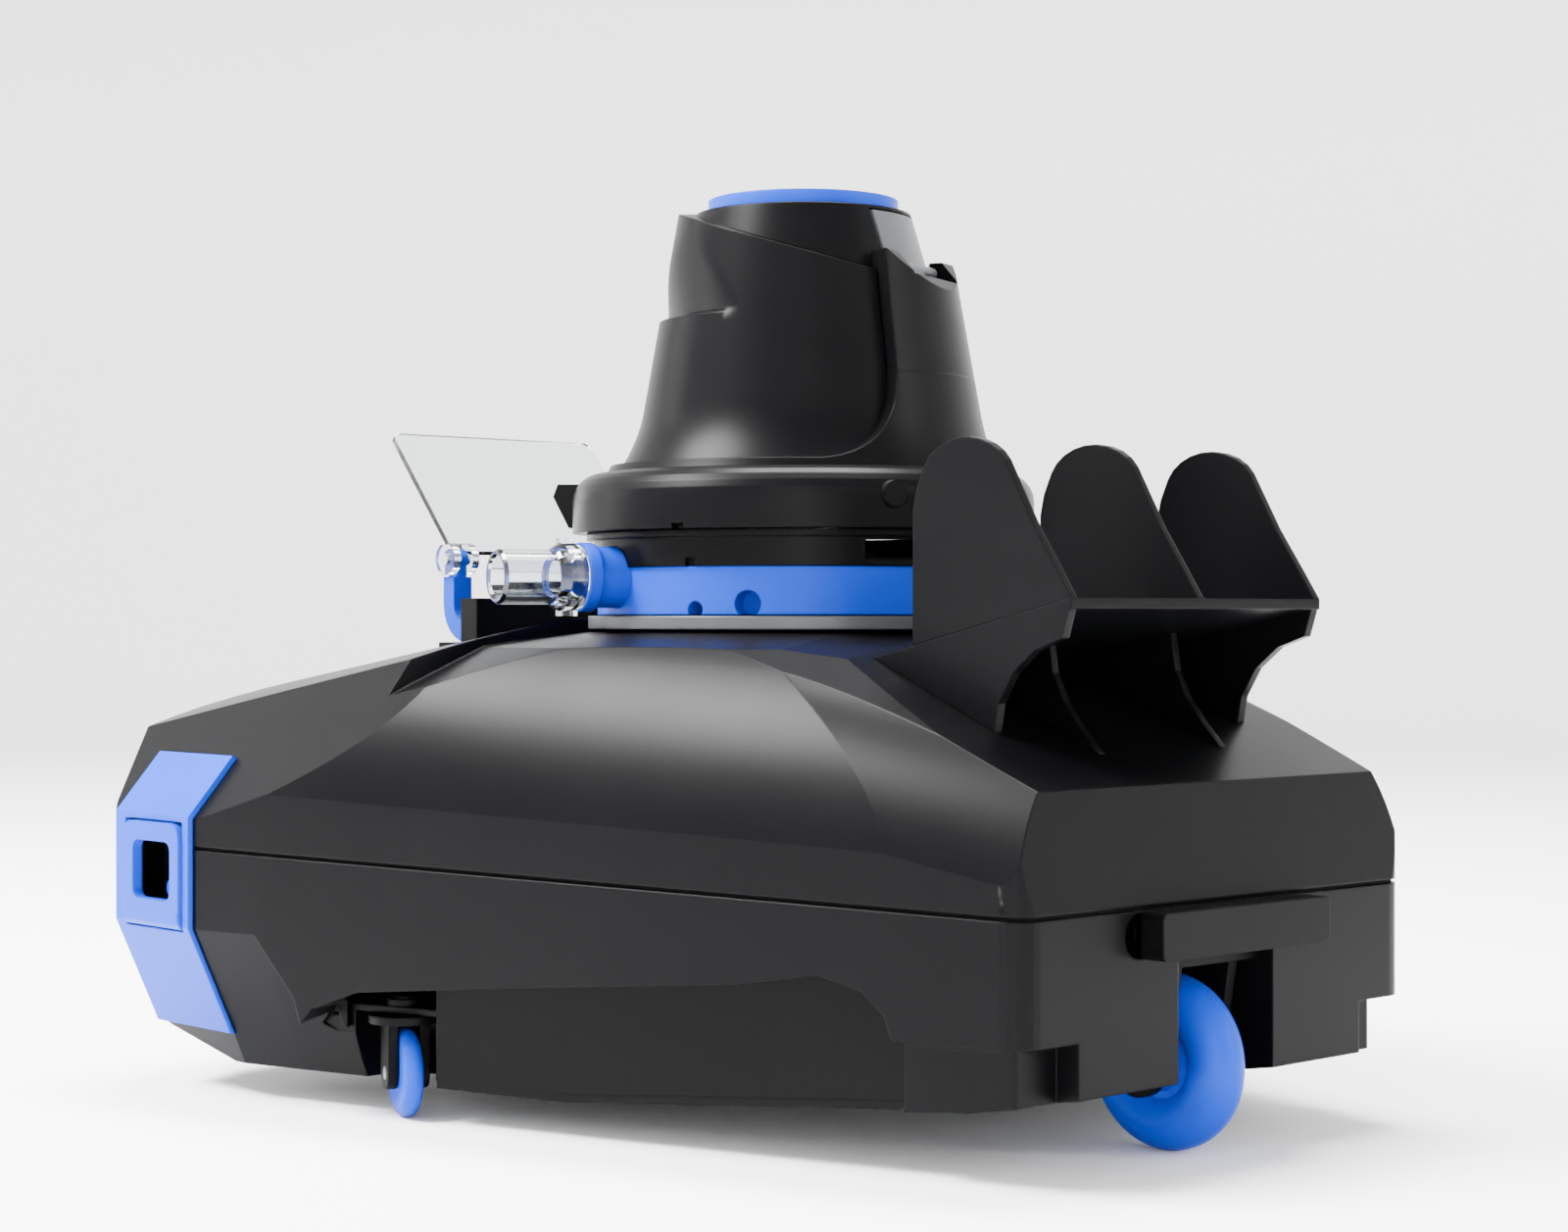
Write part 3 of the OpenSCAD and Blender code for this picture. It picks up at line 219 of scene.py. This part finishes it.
def turned_steel(name):
    material, tree, shader = new_finish(name, "#b9bbbd", roughness=0.28, metallic=1.0)
    place = add_node(tree, "ShaderNodeTexCoord")
    marks = add_node(
        tree,
        "ShaderNodeTexNoise",
        {"Scale": 1 / mm(TOOL_MARK_MM), "Detail": 2.0},
        {"Vector": place.outputs["Object"]},
    )
    gloss = add_node(
        tree, "ShaderNodeMapRange", {"To Min": 0.2, "To Max": 0.38}, {"Value": marks.outputs["Fac"]}
    )
    tree.links.new(gloss.outputs["Result"], shader.inputs["Roughness"])
    return material


clear_pc = clear_polycarbonate("clear_moulded_polycarbonate")
steel = turned_steel("turned_stainless_steel")
print("clear and steel finishes:", [m.name for m in (clear_pc, steel)])

# %% [markdown]
# ## Mesh, rubber, cell wrap and circuit board
# The filter's mesh is woven nylon: two sets of threads, drawn as two waves of which the higher one
# shows. Its colour follows the same height, so the low places between the threads are painted
# darker as painted shade. Along Z the bands of a wave texture repeat every 0.314 / Scale, which sets
# the threads 1.2 mm apart. The slanting set comes out a little wider. Moulded rubber, shrunk cell wrap
# and glass-epoxy board share one speckled finish: spots of 1 to 6 mm break up the gloss, and are
# largest on the film of the wrap.

# %% Mesh, rubber, wrap and board finishes
THREAD_MM, THREAD_DEPTH_MM = 1.2, 0.3
BAND_SCALE = 0.314
SPOT_BELOW, SPOT_ABOVE = 0.06, 0.08


def woven_nylon(name):
    material, tree, shader = new_finish(name, "#c6ccd2", roughness=0.6, ior=1.53)
    place = add_node(tree, "ShaderNodeTexCoord")
    waves = [
        add_node(
            tree,
            "ShaderNodeTexWave",
            {"Scale": BAND_SCALE / mm(THREAD_MM)},
            {"Vector": place.outputs["Object"]},
            bands_direction=direction,
        )
        for direction in ("DIAGONAL", "Z")
    ]
    cross = add_node(
        tree,
        "ShaderNodeMath",
        links={0: waves[0].outputs["Fac"], 1: waves[1].outputs["Fac"]},
        operation="MAXIMUM",
    )
    # Painted shade: the base colour follows the threads' height, darker in the low places between them.
    painted_thread_shade = add_node(
        tree, "ShaderNodeMapRange", {"To Min": 0.15, "To Max": 0.75}, {"Value": cross.outputs[0]}
    )
    bump = add_node(
        tree,
        "ShaderNodeBump",
        {"Strength": 0.8, "Distance": mm(THREAD_DEPTH_MM)},
        {"Height": cross.outputs[0]},
    )
    tree.links.new(painted_thread_shade.outputs["Result"], shader.inputs["Base Color"])
    tree.links.new(bump.outputs["Normal"], shader.inputs["Normal"])
    return material


def speckled(name, colour, roughness, ior, spot_mm, depth_mm, sheen=FULL_SHEEN):
    material, tree, shader = new_finish(name, colour, roughness, ior=ior, sheen=sheen)
    place = add_node(tree, "ShaderNodeTexCoord")
    spots = add_node(
        tree,
        "ShaderNodeTexNoise",
        {"Scale": 1 / mm(spot_mm), "Detail": 3.0},
        {"Vector": place.outputs["Object"]},
    )
    gloss = add_node(
        tree,
        "ShaderNodeMapRange",
        {"To Min": roughness - SPOT_BELOW, "To Max": roughness + SPOT_ABOVE},
        {"Value": spots.outputs["Fac"]},
    )
    bump = add_node(
        tree, "ShaderNodeBump", {"Strength": 0.5, "Distance": mm(depth_mm)}, {"Height": spots.outputs["Fac"]}
    )
    tree.links.new(gloss.outputs["Result"], shader.inputs["Roughness"])
    tree.links.new(bump.outputs["Normal"], shader.inputs["Normal"])
    return material


nylon = woven_nylon("woven_nylon_mesh")
# The rubber is black of itself. It is also kept this near-black and dull so that the seal in the hull's
# parting line shows as the dark line of the gap there: in part painted shade.
silicone = speckled(
    "moulded_silicone_rubber",
    "#040405",
    roughness=0.7,
    ior=1.43,
    spot_mm=1.5,
    depth_mm=0.03,
    sheen=BLACK_SHEEN,
)
cell_wrap = speckled("shrunk_cell_wrap", "#1c56a8", roughness=0.3, ior=1.57, spot_mm=6.0, depth_mm=0.02)
board = speckled("glass_epoxy_board", "#14502c", roughness=0.45, ior=1.55, spot_mm=1.2, depth_mm=0.02)
print("other finishes:", [m.name for m in (nylon, silicone, cell_wrap, board)])

# %% [markdown]
# ## Dressing the parts
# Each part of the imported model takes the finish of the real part. The record's slot names say which
# finish that is, so one table from slot to finish covers them all.

# %% Finish for each slot
FINISH = {
    "black_shell": black_abs,
    "black_trim": black_trim_abs,
    "blue_plastic": blue_abs,
    "grey_plastic": grey_abs,
    "clear_plastic": clear_pc,
    "steel": steel,
    "rubber": silicone,
    "filter_cloth": nylon,
    "cell_wrap": cell_wrap,
    "board": board,
}
slot_of = {part["node"]: part["material_slot"] for part in frame["record"]["subparts"]}

for name, part in nodes.items():
    part.data.materials.clear()
    part.data.materials.append(FINISH[slot_of[name]])
print("dressed", len(nodes), "parts")

# %% [markdown]
# ## Solids swept about the turret's axis
# Two mouldings of the head need shapes that a plain cone can't carry. Each is drawn as a closed
# section of radius against height, which changes with the angle about the turret's axis. The section
# is set up at many angles, and the neighbouring loops are joined.

# %% Solids swept about the turret's axis
SHARP_DEG = 35


def new_piece(name, shape, body, slot_name):
    """A dressed object made of shape, which rides on body."""
    bmesh.ops.recalc_face_normals(shape, faces=shape.faces)
    mesh = bpy.data.meshes.new(name)
    shape.to_mesh(mesh)
    shape.free()
    mesh.polygons.foreach_set("use_smooth", [True] * len(mesh.polygons))
    mesh.set_sharp_from_angle(angle=math.radians(SHARP_DEG))
    mesh.materials.append(FINISH[slot_name])
    piece = bpy.data.objects.new(name, mesh)
    bpy.context.scene.collection.objects.link(piece)
    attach(piece, body)
    return piece


def sweep(name, angles, profile_at, closed, body, slot_name):
    """A solid whose section at each angle about Z is profile_at(angle), a loop of (radius, height)."""
    shape = bmesh.new()
    loops = []
    for angle in angles:
        cosine, sine = math.cos(math.radians(angle)), math.sin(math.radians(angle))
        loops.append([shape.verts.new(mm(r * cosine, r * sine, z)) for r, z in profile_at(angle)])
    following = loops[1:] + loops[:1] if closed else loops[1:]
    for here, there in zip(loops, following):
        for i in range(len(here)):
            j = (i + 1) % len(here)
            shape.faces.new((here[i], there[i], there[j], here[j]))
    if not closed:
        shape.faces.new(loops[0])
        shape.faces.new(loops[-1])
    return new_piece(name, shape, body, slot_name)


print("sweep ready, edges sharp above", SHARP_DEG, "degrees")

# %% [markdown]
# The head is a tower that narrows upwards from its collar. The spine stands proud of it on one side,
# and the cap closes it along a raked joint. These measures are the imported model's own, all but the
# last: the height of the flare at the tower's foot, which only these two pieces have.

# %% The tower's measures
COLLAR_TOP, TOWER_SUNK, TOWER_H = 196.3, 1, 85.0
FOOT_R, TOP_R = 55.0, 40.0
TOWER_LOW = COLLAR_TOP - TOWER_SUNK
TOWER_TOP = TOWER_LOW + TOWER_H
SPINE_DEG, SPINE_HALF_DEG, SPINE_OUT = 20.0, 32.0, 5.5
CAP_TILT_DEG, JOINT_BELOW_TOP = 16.9, 11
CAP_JOINT = TOWER_TOP - JOINT_BELOW_TOP
FLARE_H = 20.0


def tower_r(z):
    """Radius of the tower at level z."""
    return FOOT_R + (TOP_R - FOOT_R) * (z - TOWER_LOW) / TOWER_H


def flare(z, out):
    """How far a foot that flares by out at the collar stands off the tower at level z."""
    return out * max(0.0, 1 - (z - COLLAR_TOP) / FLARE_H) ** 2


def from_spine(angle):
    """Degrees from the spine's middle, either way round."""
    return abs((angle - SPINE_DEG + 180) % 360 - 180)


def cover_top(angle):
    """Level of the raked joint with the cap, on the tower's surface."""
    fall = math.cos(math.radians(angle - SPINE_DEG)) * math.tan(math.radians(CAP_TILT_DEG))
    taper = (FOOT_R - TOP_R) / TOWER_H
    level = (CAP_JOINT - tower_r(0) * fall) / (1 - taper * fall)
    return min(level, TOWER_TOP)


print("tower from", COLLAR_TOP, "to", TOWER_TOP, "mm")

# %% [markdown]
# ## The head's cover
# The cover is the moulding that closes the tower away from the spine. Its foot flares out to the
# collar, and it has two finger scoops, each 130 degrees round from the spine. A scoop gets deeper
# downwards and stops at a crisp ledge, where the fingers pull. It is only 4 mm high at its ends, and it
# keeps clear of the raked joint.

# %% Cover with finger scoops
COVER_WALL, COVER_FLARE = 7.0, 5.0
COVER_GAP, COVER_GAP_DEG, COVER_STEPS = 0.3, 0.4, 148
SCOOP_OFF_DEG, SCOOP_HALF_DEG = 130.0, 40.0
SCOOP_LOW, SCOOP_H, SCOOP_DEEP, LEDGE_H = 246.0, 24.0, 4.6, 1.2
SCOOP_END_H, SCOOP_TO_JOINT, SCOOP_BELOW_JOINT = 4, 2, 0.45 * SCOOP_H
ROWS_BELOW, ROWS_IN, ROWS_ABOVE = 16, 12, 4


def scoop_share(angle):
    """1 at the middle of a scoop and 0 at its ends."""
    return max(0.0, 1 - ((from_spine(angle) - SCOOP_OFF_DEG) / SCOOP_HALF_DEG) ** 2)


def cover_section(angle):
    share = scoop_share(angle)
    foot = COLLAR_TOP + COVER_GAP
    top = cover_top(angle)
    low = min(SCOOP_LOW, top - SCOOP_BELOW_JOINT)
    high = min(low + SCOOP_END_H + (SCOOP_H - SCOOP_END_H) * share, top - SCOOP_TO_JOINT)
    outside = []
    for k in range(ROWS_BELOW + 1):
        z = foot + (low - LEDGE_H - foot) * k / ROWS_BELOW
        outside.append((tower_r(z) + flare(z, COVER_FLARE), z))
    for k in range(ROWS_IN + 1):
        t = k / ROWS_IN
        z = low + (high - low) * t
        fade = (1 - t) ** 2 * (1 + 2 * t)
        outside.append((tower_r(z) - SCOOP_DEEP * share * fade, z))
    for k in range(1, ROWS_ABOVE + 1):
        z = high + (top - high) * k / ROWS_ABOVE
        outside.append((tower_r(z), z))
    return outside + [(tower_r(top) - COVER_WALL, top), (tower_r(COLLAR_TOP) - COVER_WALL, foot)]


spine_side = SPINE_HALF_DEG + COVER_GAP_DEG
cover_turn = 360 - 2 * spine_side
cover = sweep(
    "head_cover_shell",
    [SPINE_DEG + spine_side + cover_turn * k / COVER_STEPS for k in range(COVER_STEPS + 1)],
    cover_section,
    closed=False,
    body="turret",
    slot_name="black_shell",
)
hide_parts("head_cover")
print("cover faces:", len(cover.data.polygons))

# %% [markdown]
# The collar and the spine are one moulding, and its skirt rises against the cover: a low rim all
# round that sweeps up beside the spine along a quarter of an ellipse, and wraps the spine's foot.

# %% Skirt between collar and spine
RIM_H, SWEEP_H, SWEEP_W = 2.5, 27.5, 29.0
SKIRT_FLARE, SKIRT_PROUD, SKIRT_SUNK, SKIRT_REACH_IN = 2.6, 0.04, 0.4, 1.5
SKIRT_ROWS, SKIRT_STEPS = 9, 240


def skirt_height(angle):
    along = max(0.0, math.radians(from_spine(angle) - SPINE_HALF_DEG) * (FOOT_R + SPINE_OUT))
    rest = max(0.0, 1 - along / SWEEP_W)
    return RIM_H + SWEEP_H * (1 - math.sqrt(1 - rest**2))


def skirt_section(angle):
    height = skirt_height(angle)
    outside = []
    for k in range(SKIRT_ROWS + 1):
        z = COLLAR_TOP - SKIRT_SUNK + (height + SKIRT_SUNK) * k / SKIRT_ROWS
        outside.append((tower_r(z) + SPINE_OUT + flare(z, SKIRT_FLARE) + SKIRT_PROUD, z))
    inner = tower_r(COLLAR_TOP + height) - SKIRT_REACH_IN
    return outside + [(inner, COLLAR_TOP + height), (inner, COLLAR_TOP - SKIRT_SUNK)]


skirt_angles = [360 / SKIRT_STEPS * k for k in range(SKIRT_STEPS)]
skirt = sweep(
    "head_skirt", skirt_angles, skirt_section, closed=True, body="turret", slot_name="black_shell"
)
print("skirt faces:", len(skirt.data.polygons))

# %% [markdown]
# ## Stage, light and camera
# The stage is a pale bowl: a floor that curves up into a wall all round, so no view has a horizon.
# Large soft lamps give long highlights, which is what shows the shape of black plastic.

# %% Stage
PALE = "#ffffff"
FLOOR_R, BEND_R, WALL_H = 2.4, 0.8, 1.6
FLOOR_MIDDLE_R = 0.02
BOWL_STEPS, BEND_STEPS = 72, 12


def make_bowl():
    profile = [(FLOOR_MIDDLE_R, 0.0), (FLOOR_R, 0.0)]
    for k in range(1, BEND_STEPS + 1):
        turn = math.radians(90 * k / BEND_STEPS)
        profile.append((FLOOR_R + BEND_R * math.sin(turn), BEND_R * (1 - math.cos(turn))))
    profile.append((FLOOR_R + BEND_R, BEND_R + WALL_H))
    shape = bmesh.new()
    rings = []
    for k in range(BOWL_STEPS):
        turn = math.tau * k / BOWL_STEPS
        rings.append([shape.verts.new((r * math.cos(turn), r * math.sin(turn), z)) for r, z in profile])
    for here, there in zip(rings, rings[1:] + rings[:1]):
        for i in range(len(profile) - 1):
            shape.faces.new((here[i], there[i], there[i + 1], here[i + 1]))
    shape.faces.new([ring[0] for ring in rings])
    bmesh.ops.recalc_face_normals(shape, faces=shape.faces)
    mesh = bpy.data.meshes.new("stage_bowl")
    shape.to_mesh(mesh)
    shape.free()
    mesh.polygons.foreach_set("use_smooth", [True] * len(mesh.polygons))
    bowl = bpy.data.objects.new("stage_bowl", mesh)
    bpy.context.scene.collection.objects.link(bowl)
    return bowl


stage_bowl = make_bowl()
stage_paint, _, _ = new_finish("stage_matt_paint", PALE, roughness=0.85)
stage_bowl.data.materials.append(stage_paint)
print("stage radius in m:", FLOOR_R + BEND_R)

# %% [markdown]
# The key lamp hangs high on the left of the nose, and the rim lamp above the deck. Three weak lamps
# stand off the left rear corner, the tail and the nose. An even white sky fills the shadows.

# %% Lamps
SKY_STRENGTH = 1.15


def softbox(name, place, aim, size, watts):
    data = bpy.data.lights.new(name, "AREA")
    data.shape, data.size, data.size_y, data.energy = "RECTANGLE", size[0], size[1], watts
    lamp = bpy.data.objects.new(name, data)
    lamp.location = place
    lamp.rotation_euler = (Vector(aim) - Vector(place)).to_track_quat("-Z", "Y").to_euler()
    bpy.context.scene.collection.objects.link(lamp)
    return lamp


lamps = [
    softbox("key_lamp", place=(-0.55, -0.85, 1.35), aim=(0, -0.05, 0.1), size=(0.75, 0.5), watts=150),
    softbox("rim_lamp", place=(-0.2, 0.25, 1.7), aim=(0, 0, 0.15), size=(0.9, 0.5), watts=110),
    softbox("side_lamp", place=(1.5, -1.5, 0.5), aim=(0, 0, 0.15), size=(0.35, 0.9), watts=12),
    softbox("tail_lamp", place=(1.9, 1.0, 0.9), aim=(0, 0, 0.1), size=(0.4, 1.0), watts=20),
    softbox("nose_lamp", place=(-1.7, -0.9, 0.6), aim=(0, 0, 0.1), size=(0.4, 0.9), watts=9),
]
sky = bpy.data.worlds.new("studio_sky")
sky.use_nodes = True
sky.node_tree.nodes["Background"].inputs["Color"].default_value = linear(PALE)
sky.node_tree.nodes["Background"].inputs["Strength"].default_value = SKY_STRENGTH
bpy.context.scene.world = sky
print("lamps:", [lamp.name for lamp in lamps])

# %% [markdown]
# The camera stands off the left rear corner, 0.9 m away and about level with the deck, so that the
# hull is seen from its side and the turret rises above it.

# %% Camera
SENSOR_MM, LENS_MM = 36.0, 65.25
CAMERA_MM, LOOK_ALONG = (664, -628, 151), (-0.731, 0.682, 0.0)

camera_data = bpy.data.cameras.new("camera")
camera_data.sensor_width, camera_data.lens = SENSOR_MM, LENS_MM
camera = bpy.data.objects.new("camera", camera_data)
camera.location = mm(*CAMERA_MM)
camera.rotation_euler = Vector(LOOK_ALONG).to_track_quat("-Z", "Y").to_euler()
bpy.context.scene.collection.objects.link(camera)
bpy.context.scene.camera = camera
print("camera at", [round(1000 * c) for c in camera.location], "mm")
